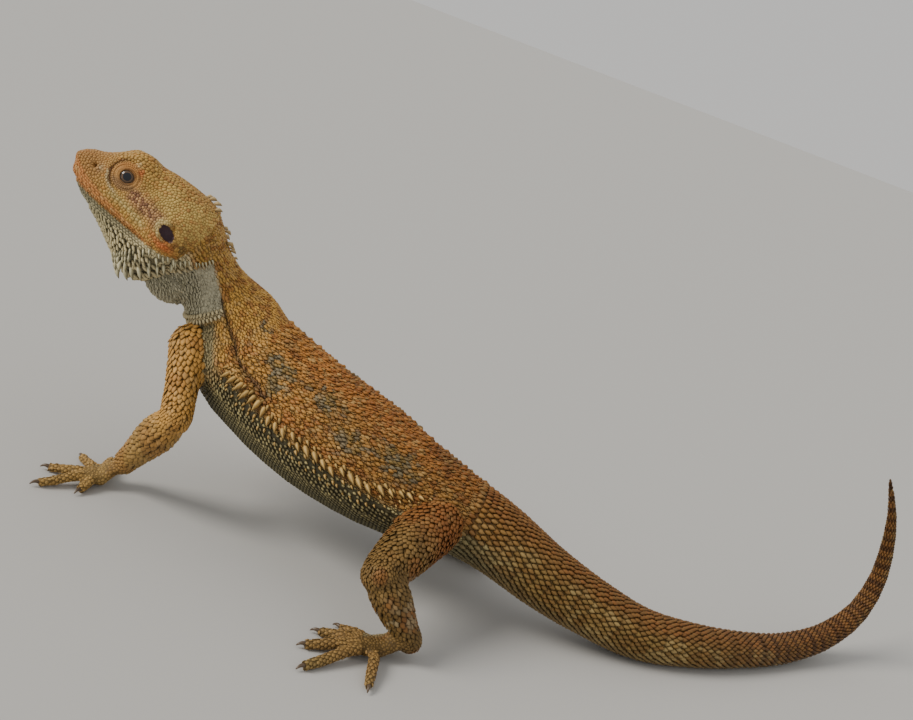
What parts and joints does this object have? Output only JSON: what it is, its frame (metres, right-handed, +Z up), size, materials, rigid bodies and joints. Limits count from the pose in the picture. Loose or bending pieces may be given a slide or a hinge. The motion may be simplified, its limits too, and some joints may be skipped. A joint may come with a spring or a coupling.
{
  "type": "bearded dragon",
  "caption": "Life-size still model of an adult bearded dragon propped on straight fore legs, head raised and turned, long tail curving round and up at its tip.",
  "frame": {"origin": "on the floor under the middle of the animal's bounding box", "axes": "+X runs from the trunk towards the tail, -Y is the animal's left side, +Z is up"},
  "size_m": [0.3542, 0.2076, 0.1227],
  "materials": {
    "skin": "dry keeled scales, orange-brown with golden head and limbs",
    "beard": "dry pale pointed scales",
    "banded_tail": "dry keeled scales in brown and tan bands",
    "claw": "dark satin horn",
    "eye": "wet gloss, dark pupil in a copper-grey iris"
  },
  "bodies": {
    "root": {"abdomen": "skin", "chest": "skin", "claw_foot_left_1": "claw", "claw_foot_left_2": "claw", "claw_foot_left_3": "claw", "claw_foot_left_4": "claw", "claw_foot_left_5": "claw", "claw_foot_right_1": "claw", "claw_foot_right_2": "claw", "claw_foot_right_3": "claw", "claw_foot_right_4": "claw", "claw_foot_right_5": "claw", "claw_hand_left_1": "claw", "claw_hand_left_2": "claw", "claw_hand_left_3": "claw", "claw_hand_left_4": "claw", "claw_hand_left_5": "claw", "claw_hand_right_1": "claw", "claw_hand_right_2": "claw", "claw_hand_right_3": "claw", "claw_hand_right_4": "claw", "claw_hand_right_5": "claw", "eye_left": "eye", "eye_right": "eye", "foot_left": "skin", "foot_right": "skin", "forearm_left": "skin", "forearm_right": "skin", "hand_left": "skin", "hand_right": "skin", "head": "skin", "lower_jaw": "beard", "neck": "skin", "pelvis": "skin", "shank_left": "skin", "shank_right": "skin", "tail_1": "skin", "tail_2": "skin", "tail_3": "banded_tail", "tail_4": "banded_tail", "thigh_left": "skin", "thigh_right": "skin", "upper_arm_left": "skin", "upper_arm_right": "skin"}
  },
  "joints": []
}
